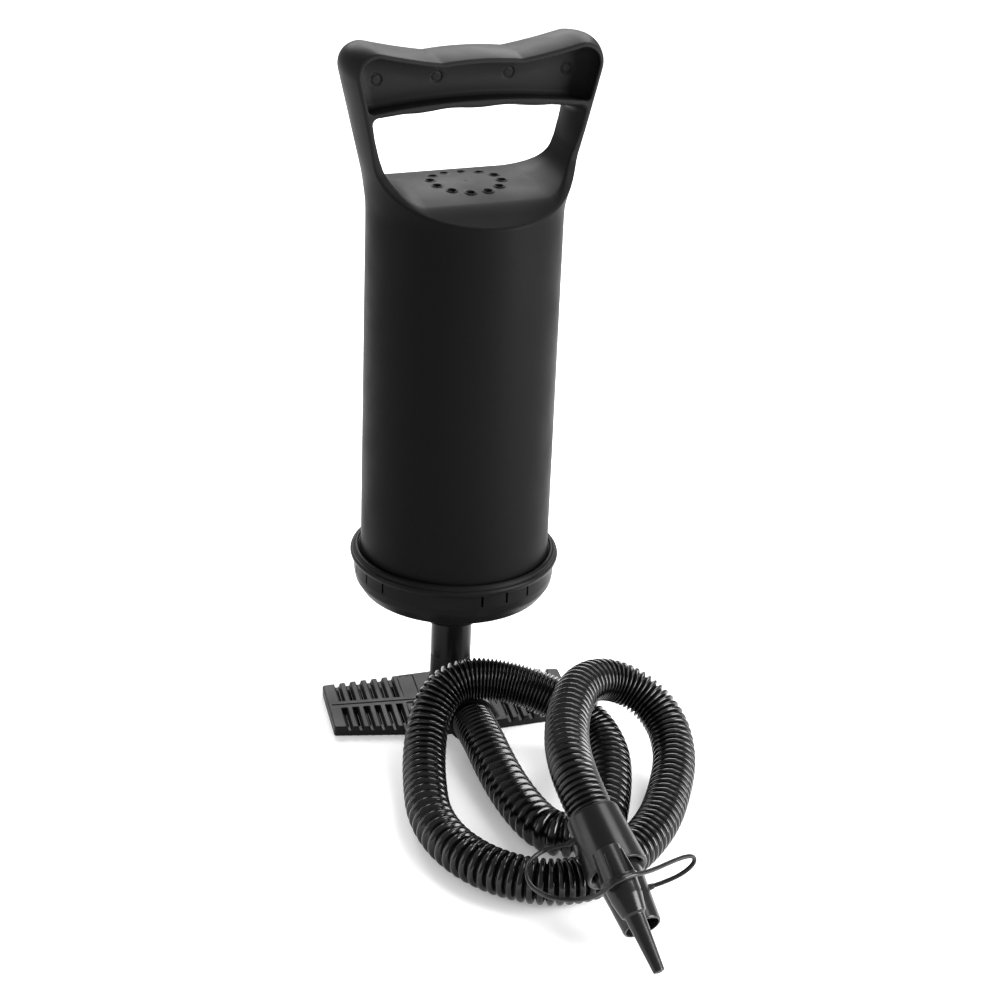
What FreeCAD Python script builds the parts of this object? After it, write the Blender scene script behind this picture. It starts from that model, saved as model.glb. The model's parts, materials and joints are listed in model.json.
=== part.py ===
import FreeCAD, Part
import math
import os

from FreeCAD import Placement, Rotation, Vector

# Double action hand pump: the foot holds a fixed hollow stem with a valved piston on top,
# and the barrel slides over them, so air is pushed out on the up stroke and on the down stroke.
# Millimetres. Origin on the ground under the stem, +Z up, X along the foot plate, hose to -Y.

# ---------------------------------------------------------------- driving dimensions
FOOT_HALF_LENGTH = 61.0
FOOT_HALF_WIDTH_END = 21.0
FOOT_HALF_WIDTH_MIDDLE = 28.5
FOOT_THICKNESS = 5.0
FOOT_GROOVES_PER_ROW = 6
FOOT_GROOVE_PITCH = 5.5
FOOT_GROOVE_WIDTH = 2.3
FOOT_GROOVE_DEPTH = 1.9
FOOT_POCKET_DEPTH = 2.4

STEM_RADIUS = 10.0
STEM_BORE_RADIUS = 7.0
SOCKET_BORE_RADIUS = 8.35
SOCKET_FLOOR_Z = 6.0
SOCKET_TOP_Z = 31.0
PORT_AXIS_Z = 12.6
PORT_LEAN = 6.0
PORT_FACE_REACH = 24.0
CUFF_END_REACH = 37.2

BARREL_RADIUS = 45.3
BARREL_BORE_RADIUS = 43.1
BARREL_FOOT_Z = 86.0
CEILING_EDGE_Z = 256.6
CEILING_TOP_Z = 267.6
CEILING_TOP_RADIUS = 22.5
DISH_Z = 272.7
DISH_CROWN = 7.3
ARM_WAIST_Z = 285.0
ARM_WAIST = 12.2
GRIP_HALF_DEPTH = 14.5
GRIP_CROWN = 1.7
HANDLE_TURN = 9.5
HANDLE_SHIFT = 1.0
GRIP_UNDERSIDE_Z = 307.8
GRIP_UNDERSIDE_RISE = 3.2
INTAKE_HOLES = 12
INTAKE_RING_RADIUS = 16.3
INTAKE_HOLE_RADIUS = 1.6

CAP_RADIUS = 48.5
CAP_LIP_RADIUS = 50.4
CAP_BOSS_RADIUS = 16.5
CAP_BOSS_Z = 52.5
VENT_FIRST_ANGLE = -71.0
VENT_STEP = 15.0

PISTON_BOTTOM_Z = 243.0
PISTON_RADIUS = 42.1
PISTON_SEAT_Z = 236.0
PISTON_SEAT_RADIUS = 9.0
FLAP_THICKNESS = 1.0
GAP = 0.05

HOSE_OUTER_RADIUS = 10.2
HOSE_INNER_RADIUS = 9.2
TETHER_RADIUS = 1.0

# Hose route from the foot port to the outlet cuff, then the outlet's own axis.
HOSE_ROUTE = [
    (3.9, -37.3, 12.6), (5.6, -53.2, 12.2), (7, -75, 10.4), (9, -99, 10.4), (13, -121, 10.4),
    (19, -137, 10.4), (31, -142, 10.4), (44, -136, 10.4), (51, -118, 10.4), (58, -97, 10.4), (63, -73, 12.5),
    (57, -54, 19), (38, -47, 30), (15, -39, 36), (-6, -37, 36), (-19, -46, 25), (-25, -64, 13),
    (-29, -88, 10.4), (-32, -115, 10.4), (-27, -141, 10.4), (-13, -163, 10.4), (8, -176, 10.4),
    (30, -175, 10.4), (50, -160, 10.4), (69, -138, 10.4), (82, -113, 11), (92, -88, 15),
    (92, -68, 24), (80, -55, 34), (63, -54, 41), (48, -68, 45), (37, -92, 46.5), (29, -119, 48),
    (25, -143, 50), (25, -160, 47.6), (27.95, -171.8, 41.1)]
OUTLET_START = Vector(28, -172, 41)
OUTLET_END = Vector(39, -220, 15)
OUTLET_CUFF_LENGTH = 29.0
NOZZLE_BORE_RADIUS = 7.4
SMALL_NOZZLE_START = Vector(25, -205.4, 45.7)
SMALL_NOZZLE_END = Vector(38.8, -247.2, 12)

# Tether from its lug on the outlet cuff, over the small nozzle's flange, to the large nozzle.
TETHER_ROUTE = [
    (15.2, -182.2, 34), (8, -181, 32.5), (0, -184, 31), (-5, -191, 29.5), (-6, -200, 28.5),
    (-3, -208, 28.5), (3, -214, 29), (10, -218, 30.5), (16, -222, 34), (19, -226, 39), (23, -228, 44.5),
    (30, -226, 46), (38, -221, 43), (46, -214, 40), (54, -208, 38.5), (62, -203, 37), (66, -200.5, 34.5),
    (66, -201, 31.5), (61, -203, 28.5), (53, -204.5, 26), (46, -205, 24.5)]


# ---------------------------------------------------------------- small helpers
def tube(outer, inner, low, high):
    """Upright ring about the Z axis."""
    return Part.makeCylinder(outer, high - low, Vector(0, 0, low)).cut(
        Part.makeCylinder(inner, high - low + 2, Vector(0, 0, low - 1)))


def rod(radius, low, high):
    return Part.makeCylinder(radius, high - low, Vector(0, 0, low))


def turned(points):
    """Solid of revolution about Z from a closed outline of (radius, z) points."""
    outline = [Vector(r, 0, z) for r, z in points]
    face = Part.Face(Part.makePolygon(outline + [outline[0]]))
    return face.revolve(Vector(0, 0, 0), Vector(0, 0, 1), 360)


def ring_of(tool, count, start=0.0, step=None):
    """Copies of a tool spread about the Z axis, as one compound."""
    step = 360.0 / count if step is None else step
    copies = []
    for k in range(count):
        copy = tool.copy()
        copy.rotate(Vector(0, 0, 0), Vector(0, 0, 1), start + k * step)
        copies.append(copy)
    return Part.makeCompound(copies)


def hole_ring(radius, ring_radius, low, high, count, start=0.0):
    hole = Part.makeCylinder(radius, high - low, Vector(ring_radius, 0, low))
    return ring_of(hole, count, start)


def along(shape, start, end):
    """Moves a shape made along +Z at the origin onto the axis from start to end."""
    turn = Rotation(Vector(0, 0, 1), end.sub(start))
    shape.Placement = Placement(start, turn)
    return shape


def lean(shape):
    """Turns a shape made along -Y to the port's lean about the stem."""
    shape.rotate(Vector(0, 0, 0), Vector(0, 0, 1), PORT_LEAN)
    return shape


def port_cylinder(radius, near, far):
    """Cylinder on the port's axis, from reach near to reach far in front of the stem."""
    return lean(Part.makeCylinder(radius, far - near, Vector(0, -near, PORT_AXIS_Z), Vector(0, -1, 0)))


def save(name, shape):
    solids = shape.Solids
    result = solids[0] if len(solids) == 1 else Part.makeCompound(solids)
    result.exportStep("parts/" + name + ".step")
    box = result.BoundBox
    print("%-20s solids %d valid %s volume %9.1f mm3  z %.2f to %.2f" % (
        name, len(solids), result.isValid(), result.Volume, box.ZMin, box.ZMax))


# ---------------------------------------------------------------- foot and stem
def foot_outline(offset=0.0):
    """Long hexagon of the foot plate, moved inward by offset."""
    corners = []
    for x, y in [(-1, -1), (0, -1), (1, -1), (1, 1), (0, 1), (-1, 1)]:
        width = FOOT_HALF_WIDTH_MIDDLE if x == 0 else FOOT_HALF_WIDTH_END
        corners.append(Vector(x * (FOOT_HALF_LENGTH - offset), y * (width - offset), 0))
    return Part.makePolygon(corners + [corners[0]])


def foot_prism(low, high, offset=0.0):
    face = Part.Face(foot_outline(offset))
    face.translate(Vector(0, 0, low))
    return face.extrude(Vector(0, 0, high - low))


def foot_grooves():
    """Open-ended tread grooves: two rows of six on each wing, either side of the centre crease."""
    tools = []
    first = FOOT_HALF_LENGTH - 7.5
    for side in (-1, 1):
        for row in (-1, 1):
            for k in range(FOOT_GROOVES_PER_ROW):
                x = side * (first - k * FOOT_GROOVE_PITCH)
                low_y = 3.6 if row > 0 else -40.0
                tools.append(Part.makeBox(
                    FOOT_GROOVE_WIDTH, 36.4, 5.0,
                    Vector(x - FOOT_GROOVE_WIDTH / 2, low_y, FOOT_THICKNESS - FOOT_GROOVE_DEPTH)))
    return Part.makeCompound(tools)


def foot_plate():
    plate = foot_prism(0, FOOT_THICKNESS)
    long_edges = [e for e in plate.Edges if e.BoundBox.ZMin > FOOT_THICKNESS - 0.1]
    plate = plate.makeFillet(0.8, long_edges)
    plate = plate.cut(foot_grooves())
    crease = Part.makeBox(2 * FOOT_HALF_LENGTH - 6, 0.8, 1.0,
                          Vector(3 - FOOT_HALF_LENGTH, -0.4, FOOT_THICKNESS - 0.5))
    plate = plate.cut(crease)
    for side in (-1, 1):
        low_x = 25.0 if side > 0 else -57.0
        for row in (-1, 1):
            low_y = 1.2 if row > 0 else -18.2
            pocket = Part.makeBox(32, 17, FOOT_POCKET_DEPTH + 1, Vector(low_x, low_y, -1))
            plate = plate.cut(pocket)
    socket = rod(STEM_RADIUS, 0, SOCKET_TOP_Z)
    root = turned([(0, 1), (15.0, 1), (15.0, FOOT_THICKNESS), (12.0, FOOT_THICKNESS + 0.8),
                   (STEM_RADIUS, FOOT_THICKNESS + 3.0), (0, FOOT_THICKNESS + 3.0)])
    housing = port_cylinder(11.8, 0, PORT_FACE_REACH)
    housing = housing.cut(Part.makeBox(80, 80, 10, Vector(-40, -40, -9)))
    flare_side = [Vector(-17.5, 0, 1), Vector(17.5, 0, 1), Vector(17.5, 0, 6), Vector(10.5, 0, 18),
                  Vector(-10.5, 0, 18), Vector(-17.5, 0, 6)]
    flare = Part.Face(Part.makePolygon(flare_side + [flare_side[0]]))
    flare = lean(flare.extrude(Vector(0, -PORT_FACE_REACH, 0)))
    plate = plate.fuse([socket, root, housing, flare]).removeSplitter()
    plate = plate.cut(rod(SOCKET_BORE_RADIUS, SOCKET_FLOOR_Z, SOCKET_TOP_Z + 1))
    plate = plate.cut(port_cylinder(12.7, PORT_FACE_REACH, 60))
    spigot = port_cylinder(8.6, SOCKET_BORE_RADIUS + 1, CUFF_END_REACH - 2)
    plate = plate.fuse(spigot).removeSplitter()
    plate = plate.cut(port_cylinder(6.6, 0, 60))
    windows = latch_boxes(8.6, 4.4, 27.0, 3.0)
    return plate.cut(windows)


def latch_boxes(width_reach, width, middle_z, height):
    """Two small blocks on the socket's front, on the camera side of the port, for the stem latches."""
    tools = []
    for angle in (-126.0, -78.0):
        block = Part.makeBox(4.0, width, height, Vector(width_reach - 1.0, -width / 2, middle_z - height / 2))
        block.rotate(Vector(0, 0, 0), Vector(0, 0, 1), angle)
        tools.append(block)
    return Part.makeCompound(tools)


def stem_tube():
    top = PISTON_BOTTOM_Z + 3.0
    spigot = rod(SOCKET_BORE_RADIUS - GAP, SOCKET_FLOOR_Z, SOCKET_TOP_Z)
    stem = spigot.fuse([rod(STEM_RADIUS, SOCKET_TOP_Z, PISTON_SEAT_Z), rod(PISTON_SEAT_RADIUS, 230, top)])
    latches = latch_boxes(8.4, 4.0, 27.0, 2.6).common(rod(STEM_RADIUS - 0.1, 0, 60))
    stem = stem.fuse(latches).removeSplitter()
    stem = stem.cut(rod(STEM_BORE_RADIUS, SOCKET_FLOOR_Z + 1.5, top + 1))
    stem = stem.cut(port_cylinder(6.0, 0, 12))
    stem = stem.cut(tube(SOCKET_BORE_RADIUS + 1, 7.5, 20.0, 22.0))
    boss = tube(4.2, 2.0, top - 22.0, top)
    ribs = ring_of(Part.makeBox(4.0, 1.6, 22.0, Vector(3.6, -0.8, top - 22.0)), 3)
    return stem.fuse([boss, ribs]).removeSplitter()


def stem_seal_ring():
    return tube(SOCKET_BORE_RADIUS - 0.02, 7.52, 20.1, 21.9)


# ---------------------------------------------------------------- piston and its valves
def piston_lower():
    """Lower half of the piston: hub on the stem, ported floor and the ring's lower land."""
    low = PISTON_BOTTOM_Z
    seat = PISTON_SEAT_Z + GAP
    body = turned([(STEM_RADIUS + GAP, low - 9), (14.0, low - 9), (14.0, low), (PISTON_RADIUS, low),
                   (PISTON_RADIUS, low + 5), (38.0, low + 5), (38.0, low + 10.4), (35.0, low + 10.4),
                   (35.0, low + 3), (PISTON_SEAT_RADIUS + GAP, low + 3), (PISTON_SEAT_RADIUS + GAP, seat),
                   (STEM_RADIUS + GAP, seat)])
    body = body.cut(hole_ring(3.4, 25.0, low - 1, low + 4, 8))
    web = ring_of(Part.makeBox(20.0, 1.6, 1.2, Vector(13.5, -0.8, low - 1.2)), 8, 22.5)
    return body.fuse(web).removeSplitter()


def piston_upper():
    """Upper half of the piston: ported cover that closes the valve chamber."""
    low = PISTON_BOTTOM_Z + 10.5
    body = turned([(2.7, low), (38.1, low), (38.1, low - 1.5), (PISTON_RADIUS, low - 1.5),
                   (PISTON_RADIUS, low + 3.0), (2.7, low + 3.0)])
    return body.cut(hole_ring(3.4, 25.0, low - 2, low + 4, 8))


def valve_spacer():
    """Core and mid shelf between the piston halves; its windows let air into the stem."""
    low = PISTON_BOTTOM_Z + 3.0 + GAP
    high = PISTON_BOTTOM_Z + 10.5 - GAP
    shelf = low + 3.0
    body = turned([(12.0, low), (15.0, low), (15.0, shelf), (31.0, shelf), (31.0, shelf + 1.5),
                   (15.0, shelf + 1.5), (15.0, high), (12.0, high)])
    body = body.cut(hole_ring(3.0, 25.0, shelf - 1, shelf + 3, 8, 22.5))
    windows = ring_of(Part.makeBox(8.0, 5.0, 2.0, Vector(10.0, -2.5, low + 0.5)), 6)
    windows_above = ring_of(Part.makeBox(8.0, 5.0, 1.8, Vector(10.0, -2.5, shelf + 1.9)), 6)
    return body.cut(windows).cut(windows_above)


def lower_transfer_flap():
    low = PISTON_BOTTOM_Z + 3.0 + 2 * GAP
    return tube(33.0, 16.0, low, low + FLAP_THICKNESS)


def upper_transfer_flap():
    low = PISTON_BOTTOM_Z + 3.0 + 3.0 + 1.5 + 3 * GAP
    return tube(33.0, 16.0, low, low + FLAP_THICKNESS)


def piston_ring():
    low = PISTON_BOTTOM_Z + 5.1
    return turned([(38.1, low), (BARREL_BORE_RADIUS - 0.05, low), (BARREL_BORE_RADIUS - 0.05, low + 1.2),
                   (41.7, low + 1.9), (BARREL_BORE_RADIUS - 0.05, low + 2.6),
                   (BARREL_BORE_RADIUS - 0.05, low + 3.8), (38.1, low + 3.8)])


def piston_screw():
    seat = PISTON_BOTTOM_Z + 13.5
    screw = rod(4.6, seat, seat + 2.4)
    screw = screw.fuse(rod(1.95, seat - 24.0, seat)).removeSplitter()
    cross = Part.makeBox(5.0, 1.1, 1.4, Vector(-2.5, -0.55, seat + 1.2))
    return screw.cut(cross).cut(Part.makeBox(1.1, 5.0, 1.4, Vector(-0.55, -2.5, seat + 1.2)))


# ---------------------------------------------------------------- barrel with its handle
def flare(z):
    """Outward lean of each handle arm above the barrel."""
    return max(0.0, 0.24 * (z - 263.5))


def shift(z):
    """Sideways offset of the handle from the barrel's axis, grown over the dish."""
    return HANDLE_SHIFT * min(1.0, max(0.0, (z - 262.0) / 18))


def half_depth(z):
    """Half of the handle's depth: it narrows from the dish rim to a waist, then widens to the grip."""
    if z < ARM_WAIST_Z:
        return min(44.6, ARM_WAIST + 0.075 * (ARM_WAIST_Z - z) ** 2)
    return GRIP_HALF_DEPTH - (GRIP_HALF_DEPTH - ARM_WAIST) * math.exp(-((z - ARM_WAIST_Z) / 15) ** 1.3)


def handle_wire(z):
    """Level section of the handle: two arcs of the barrel's radius joined by flat sides."""
    depth = half_depth(z)
    reach = math.sqrt(BARREL_RADIUS ** 2 - depth ** 2)
    lean_out = flare(z)
    middle = shift(z)
    right_back = Vector(middle + reach + lean_out, depth, z)
    right_front = Vector(middle + reach + lean_out, -depth, z)
    left_back = Vector(middle - reach - lean_out, depth, z)
    left_front = Vector(middle - reach - lean_out, -depth, z)
    right = Part.Arc(right_front, Vector(middle + BARREL_RADIUS + lean_out, 0, z), right_back).toShape()
    left = Part.Arc(left_back, Vector(middle - BARREL_RADIUS - lean_out, 0, z), left_front).toShape()
    back = Part.LineSegment(right_back, left_back).toShape()
    front = Part.LineSegment(left_front, right_front).toShape()
    return Part.Wire([right, back, left, front])


def mirrored(points):
    """Right half of an outline, from its bottom to its top middle, completed with its left half."""
    return points + [(-x, z) for x, z in reversed(points) if x != 0]


def front_face(points, y=0.0):
    outline = [Vector(x + HANDLE_SHIFT, y, z) for x, z in points]
    return Part.Face(Part.makePolygon(outline + [outline[0]]))


def grip_top(inset=0.0):
    """Wavy top of the grip, right half from the outer corner to the middle."""
    points = [(61.0, 321.5), (60.2, 326.5), (58.4, 330.7), (55.4, 334.0), (52.0, 335.8), (48.5, 336.3),
              (45.0, 335.8), (34.0, 333.0), (20.0, 330.5), (10.0, 331.2), (0.0, 331.5)]
    return [(x - inset if x > 50 else x, z - inset) for x, z in points]


def window_wire(y):
    """Section of the space under the grip: crowned dish below, arched grip underside above."""
    crown = DISH_CROWN * (y / BARREL_RADIUS) ** 2
    edge = min(1.0, (y / GRIP_HALF_DEPTH) ** 2)
    wider = 2.3 * edge
    floor = DISH_Z - crown
    rise = 2.2
    corner = GRIP_UNDERSIDE_Z - rise + GRIP_UNDERSIDE_RISE * edge
    bottom_left = Vector(-27, y, floor)
    bottom_right = Vector(27, y, floor)
    bend_right = Vector(40.3 + 0.6 * wider, y, floor + 3.9)
    wall_right = Vector(45.3 + wider, y, floor + 14.5)
    top_right = Vector(48.2 + wider, y, corner - 3.0)
    arch_right = Vector(45.4 + wider, y, corner + 0.2)
    middle = Vector(0, y, corner + rise)

    def flip(v):
        return Vector(-v.x, v.y, v.z)

    edges = [Part.LineSegment(bottom_left, bottom_right).toShape(),
             Part.Arc(bottom_right, bend_right, wall_right).toShape(),
             Part.LineSegment(wall_right, top_right).toShape(),
             Part.LineSegment(top_right, arch_right).toShape(),
             Part.Arc(arch_right, middle, flip(arch_right)).toShape(),
             Part.LineSegment(flip(arch_right), flip(top_right)).toShape(),
             Part.LineSegment(flip(top_right), flip(wall_right)).toShape(),
             Part.Arc(flip(wall_right), flip(bend_right), bottom_left).toShape()]
    return Part.Wire(edges)


def handle_solid():
    levels = (261, 265, 268, 272, 276, 280, 285, 292, 300, 312, 330, 346)
    body = Part.makeLoft([handle_wire(z) for z in levels], True, False)
    wires = []
    for y in (-46, -GRIP_HALF_DEPTH, 0, GRIP_HALF_DEPTH, 46):
        crown = GRIP_CROWN if y == 0 else 0.0
        top = [(x, z + crown) for x, z in grip_top()]
        wires.append(front_face(mirrored([(80, 250), (80, 320)] + top), y).OuterWire)
    return body.common(Part.makeLoft(wires, True, True))


def grip_recess(side):
    """Open recess in one face of the grip, down to the middle web."""
    low = [(52.6, 309.7), (30.0, 312.3), (0.0, 313.5)]
    floor = [(-x, z) for x, z in low[:-1]] + [(x, z) for x, z in reversed(low)]
    top = mirrored(grip_top(1.9))
    outline = front_face(floor + top, -1.2 if side < 0 else 1.2)
    return outline.extrude(Vector(0, side * 30, 0))


def recess_bounds():
    """Inside of the handle's outer skin, which trims the grip recesses."""
    wires = []
    for z in (300, 316, 332, 346):
        reach = flare(z) + math.sqrt(BARREL_RADIUS ** 2 - GRIP_HALF_DEPTH ** 2) - 1.9
        corners = [Vector(x + HANDLE_SHIFT, y, z) for x, y in
                   [(-reach, -40), (reach, -40), (reach, 40), (-reach, 40)]]
        wires.append(Part.makePolygon(corners + [corners[0]]))
    return Part.makeLoft(wires, True, True)


def pump_barrel():
    cylinder = rod(BARREL_RADIUS, BARREL_FOOT_Z, 263)
    body = cylinder.fuse(handle_solid())
    depth = GRIP_HALF_DEPTH
    window = Part.makeLoft([window_wire(y) for y in (-50, -34, -depth, 0, depth, 34, 50)], True, False)
    window.translate(Vector(HANDLE_SHIFT, 0, 0))
    body = body.cut(window)
    skin = recess_bounds()
    for side in (-1, 1):
        body = body.cut(grip_recess(side).common(skin))
    bore = turned([(0, BARREL_FOOT_Z - 1), (BARREL_BORE_RADIUS, BARREL_FOOT_Z - 1),
                   (BARREL_BORE_RADIUS, CEILING_EDGE_Z), (CEILING_TOP_RADIUS, CEILING_TOP_Z),
                   (0, CEILING_TOP_Z)])
    body = body.cut(bore)
    holes = hole_ring(INTAKE_HOLE_RADIUS, INTAKE_RING_RADIUS, CEILING_TOP_Z - 1, DISH_Z + 1,
                      INTAKE_HOLES, 17.0)
    body = body.cut(holes).cut(rod(2.05, CEILING_TOP_Z - 1, CEILING_TOP_Z + 3.0))
    body.rotate(Vector(0, 0, 0), Vector(0, 0, 1), HANDLE_TURN)
    return body


def intake_flap_cage():
    """Perforated keeper under the intake holes, held by its own pin in the ceiling."""
    low = CEILING_TOP_Z - 4.6
    plate = rod(21.8, low, low + 1.4).cut(hole_ring(4.0, 12.5, low - 1, low + 3, 8))
    return plate.fuse(rod(2.0, low, CEILING_TOP_Z + 2.9)).removeSplitter()


def intake_flap():
    low = CEILING_TOP_Z - 4.6 + 1.4 + GAP
    return tube(20.5, 2.5, low, low + FLAP_THICKNESS)


# ---------------------------------------------------------------- bottom cap, gland and lower valve
def bottom_cap():
    outside = [(13.0, CAP_BOSS_Z), (15.7, CAP_BOSS_Z), (CAP_BOSS_RADIUS, CAP_BOSS_Z + 0.8),
               (CAP_BOSS_RADIUS, 60.0), (30.0, 62.6), (38.0, 65.4), (43.8, 68.9), (47.1, 73.0),
               (CAP_RADIUS, 77.5), (CAP_RADIUS, 86.0), (49.7, 86.2), (CAP_LIP_RADIUS, 86.9),
               (CAP_LIP_RADIUS, 88.4), (49.9, 89.1), (48.8, 89.1), (48.7, 90.3), (48.2, 90.9), (46.9, 90.9)]
    inside = [(46.7, 90.0), (BARREL_RADIUS + GAP, 89.6), (BARREL_RADIUS + GAP, 83.0), (43.4, 83.0),
              (43.4, 77.5), (42.6, 74.2), (40.0, 70.6), (36.0, 68.2), (29.0, 66.0), (13.0, 66.0)]
    cap = turned(outside + inside)
    vent = Part.makeBox(10.0, 1.1, 5.6, Vector(42.0, -0.55, 79.9))
    for cluster in range(4):
        cap = cap.cut(ring_of(vent, 3, VENT_FIRST_ANGLE + 90.0 * cluster - VENT_STEP, VENT_STEP))
    return cap


def lower_valve_plate():
    """Plate between the barrel and the cap: vent chamber below it, lower air chamber above it."""
    spigot_radius = BARREL_BORE_RADIUS - 0.2
    plate = turned([(13.2, 67.7), (16.0, 67.7), (16.0, 83.1), (BARREL_RADIUS, 83.1), (BARREL_RADIUS, 85.0),
                    (spigot_radius, 85.0), (spigot_radius, 85.6), (19.5, 85.6), (19.5, 88.4), (22.0, 88.4),
                    (22.0, 89.4), (17.5, 89.4), (17.5, 84.0), (13.2, 80.0)])
    return plate.cut(hole_ring(3.0, 28.0, 82, 87, 10))


def barrel_seal_ring():
    return tube(BARREL_RADIUS - 0.1, BARREL_BORE_RADIUS + 0.2, 85.05, 85.95)


def lower_intake_flap():
    return tube(36.0, 20.0, 85.6 + GAP, 85.6 + GAP + FLAP_THICKNESS)


def rod_bush():
    """Bearing sleeve in the cap's boss; the barrel turns on it and it slides on the stem."""
    return turned([(STEM_RADIUS + GAP, 53.2), (13.0 - GAP, 53.2), (13.0 - GAP, 66.0 + GAP),
                   (15.8, 66.0 + GAP), (15.8, 67.6), (STEM_RADIUS + GAP, 67.6)])


def rod_seal():
    return turned([(STEM_RADIUS + 0.03, 68.0), (12.9, 68.0), (12.9, 72.0), (12.0, 72.0), (11.4, 69.6),
                   (STEM_RADIUS + 0.5, 69.6), (STEM_RADIUS + 0.5, 71.4), (STEM_RADIUS + 0.03, 71.4)])


# ---------------------------------------------------------------- hose and nozzles
def smooth_path(route):
    """Straight runs joined by tangent arcs, each arc as large as its two runs allow."""
    points = [Vector(*p) for p in route]
    edges = []
    radii = []
    length = 0.0
    last = points[0]
    for before, corner, after in zip(points, points[1:], points[2:]):
        back = before.sub(corner)
        ahead = after.sub(corner)
        turn = math.pi - back.getAngle(ahead)
        trim = 0.45 * min(back.Length, ahead.Length)
        radius = trim / math.tan(turn / 2)
        start = corner.add(back.normalize().multiply(trim))
        end = corner.add(ahead.normalize().multiply(trim))
        centre_way = back.add(ahead).normalize()
        middle = corner.add(centre_way.multiply(radius / math.cos(turn / 2) - radius))
        edges.append(Part.LineSegment(last, start).toShape())
        edges.append(Part.Arc(start, middle, end).toShape())
        length += start.sub(last).Length + radius * turn
        radii.append(radius)
        last = end
    edges.append(Part.LineSegment(last, points[-1]).toShape())
    length += points[-1].sub(last).Length
    return Part.Wire(edges), points[1].sub(points[0]), length, radii


def swept(route, radius):
    wire, first_way, length, radii = smooth_path(route)
    circle = Part.Wire([Part.makeCircle(radius, Vector(*route[0]), first_way)])
    sweep = Part.BRepOffsetAPI.MakePipeShell(wire)
    sweep.setFrenetMode(False)
    sweep.add(circle)
    sweep.build()
    sweep.makeSolid()
    return sweep.shape(), length, radii


def hose():
    outer, length, radii = swept(HOSE_ROUTE, HOSE_OUTER_RADIUS)
    inner, _, _ = swept(HOSE_ROUTE, HOSE_INNER_RADIUS)
    body = outer.cut(inner)
    section = math.pi * (HOSE_OUTER_RADIUS ** 2 - HOSE_INNER_RADIUS ** 2)
    print("hose length %.1f mm, section x length %.0f, volume %.0f" % (length, section * length, body.Volume))
    print("hose bend radii:", " ".join("%.0f" % r for r in radii))
    return body


def nozzle_tether():
    body, length, radii = swept(TETHER_ROUTE, TETHER_RADIUS)
    swept_volume = math.pi * TETHER_RADIUS ** 2 * length
    print("tether length %.1f mm, section x length %.0f, volume %.0f" % (length, swept_volume, body.Volume))
    print("tether bend radii:", " ".join("%.1f" % r for r in radii))
    return body


def hose_base_cuff():
    cuff = port_cylinder(11.8, PORT_FACE_REACH + 0.2, CUFF_END_REACH)
    return cuff.cut(port_cylinder(8.65, 0, 60))


def hose_outlet_cuff():
    length = OUTLET_CUFF_LENGTH
    body = turned([(7.4, 0), (11.6, 0), (12.0, 0.8), (12.6, 10), (13.9, length - 1.2), (13.3, length),
                   (10.8, length), (10.05, length - 6), (10.05, 12), (7.4, 12)])
    return along(body, Vector(OUTLET_START), OUTLET_END)


def large_nozzle():
    length = OUTLET_END.sub(OUTLET_START).Length
    body = turned([(8.2, 12.2), (10.0, 12.2), (10.0, OUTLET_CUFF_LENGTH - 6), (10.3, OUTLET_CUFF_LENGTH),
                   (8.5, length - 0.4), (8.1, length), (NOZZLE_BORE_RADIUS, length),
                   (NOZZLE_BORE_RADIUS, length - 20.0)])
    return along(body, Vector(OUTLET_START), OUTLET_END)


def small_nozzle():
    length = SMALL_NOZZLE_END.sub(SMALL_NOZZLE_START).Length
    body = turned([(4.6, 0), (6.2, 0), (6.4, 13.4), (8.3, 13.6), (8.3, 15.6), (7.3, 15.8), (6.9, 22),
                   (5.4, 29.4), (4.1, 30.4), (2.5, length - 0.3), (2.2, length), (1.3, length),
                   (2.9, 30), (4.6, 20)])
    fin = Part.makeBox(7.3, 1.2, 13.0, Vector(0, -0.6, 1.0))
    fins = ring_of(fin, 4, 45).cut(rod(5.4, -1, 40))
    return along(body.fuse(fins).removeSplitter(), Vector(SMALL_NOZZLE_START), SMALL_NOZZLE_END)


# ---------------------------------------------------------------- write every piece
os.makedirs("parts", exist_ok=True)

PIECES = [foot_plate, stem_tube, stem_seal_ring, piston_lower, piston_upper, valve_spacer,
          lower_transfer_flap, upper_transfer_flap, piston_ring, piston_screw, pump_barrel,
          intake_flap_cage, intake_flap, bottom_cap, lower_valve_plate, barrel_seal_ring,
          lower_intake_flap, rod_bush, rod_seal, hose_base_cuff, hose, hose_outlet_cuff,
          large_nozzle, small_nozzle, nozzle_tether]

for piece in PIECES:
    save(piece.__name__, piece())
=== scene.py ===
import json
import math

import bmesh
import bpy
import numpy as np
import openvdb
from mathutils import Matrix, Vector


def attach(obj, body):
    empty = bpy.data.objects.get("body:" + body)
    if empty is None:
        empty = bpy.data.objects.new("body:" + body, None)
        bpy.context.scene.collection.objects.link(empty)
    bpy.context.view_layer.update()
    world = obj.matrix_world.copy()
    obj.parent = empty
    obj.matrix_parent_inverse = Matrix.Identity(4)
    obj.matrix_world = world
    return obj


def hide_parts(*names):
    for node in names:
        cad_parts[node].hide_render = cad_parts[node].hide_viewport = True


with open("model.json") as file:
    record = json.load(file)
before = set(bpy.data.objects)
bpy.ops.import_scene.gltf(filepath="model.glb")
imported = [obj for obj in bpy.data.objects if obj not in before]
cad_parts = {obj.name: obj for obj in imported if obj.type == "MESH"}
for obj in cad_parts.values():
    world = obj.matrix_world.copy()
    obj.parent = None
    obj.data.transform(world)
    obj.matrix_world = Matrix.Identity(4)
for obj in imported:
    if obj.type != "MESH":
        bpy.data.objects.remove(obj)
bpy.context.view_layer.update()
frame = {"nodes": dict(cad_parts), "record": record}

MM = 0.001

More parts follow.
